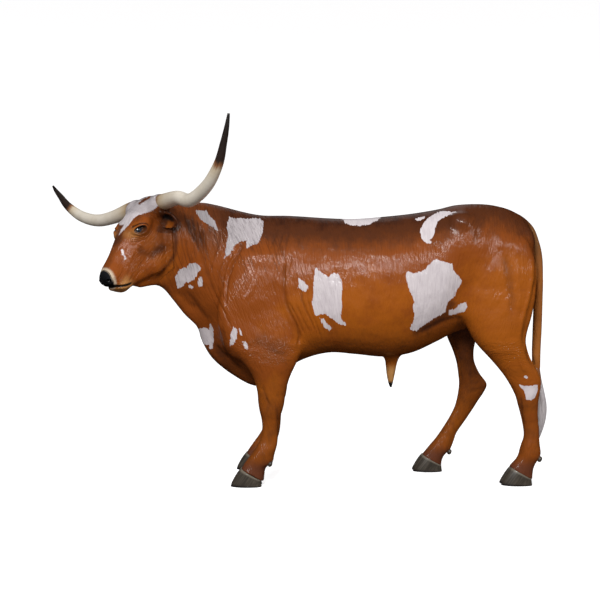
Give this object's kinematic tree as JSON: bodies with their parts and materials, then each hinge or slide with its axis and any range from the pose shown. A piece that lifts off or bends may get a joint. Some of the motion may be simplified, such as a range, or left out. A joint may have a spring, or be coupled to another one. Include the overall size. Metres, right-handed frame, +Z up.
{
  "type": "texas longhorn statue",
  "caption": "Life-size painted resin statue of a standing Texas longhorn bull, head turned to its left, with wide swept horns, on its own hoofs.",
  "frame": {"origin": "on the floor, under the middle of the bounding box", "axes": "+Z up, the trunk along X with the tail at +X and the head at -X, the bull's left side at -Y"},
  "size_m": [2.7868, 1.243, 1.8607],
  "materials": {
    "hide": "glossy painted resin over moulded hair",
    "horn": "satin painted resin, cream with dark tips",
    "eye": "high gloss",
    "hoof": "glossy painted resin",
    "hair": "painted resin, moulded locks"
  },
  "bodies": {
    "root": {"claw_fore_left_inner": "hoof", "claw_fore_left_outer": "hoof", "claw_fore_right_inner": "hoof", "claw_fore_right_outer": "hoof", "claw_hind_left_inner": "hoof", "claw_hind_left_outer": "hoof", "claw_hind_right_inner": "hoof", "claw_hind_right_outer": "hoof", "dewclaw_fore_left_inner": "hoof", "dewclaw_fore_left_outer": "hoof", "dewclaw_fore_right_inner": "hoof", "dewclaw_fore_right_outer": "hoof", "dewclaw_hind_left_inner": "hoof", "dewclaw_hind_left_outer": "hoof", "dewclaw_hind_right_inner": "hoof", "dewclaw_hind_right_outer": "hoof", "ear_left": "hide", "ear_right": "hide", "eye_left": "eye", "eye_right": "eye", "foreleg_left": "hide", "foreleg_right": "hide", "head": "hide", "hind_leg_left": "hide", "hind_leg_right": "hide", "horn_left": "horn", "horn_right": "horn", "neck": "hide", "sheath": "hide", "tail": "hide", "tail_switch": "hair", "torso": "hide"}
  },
  "joints": []
}
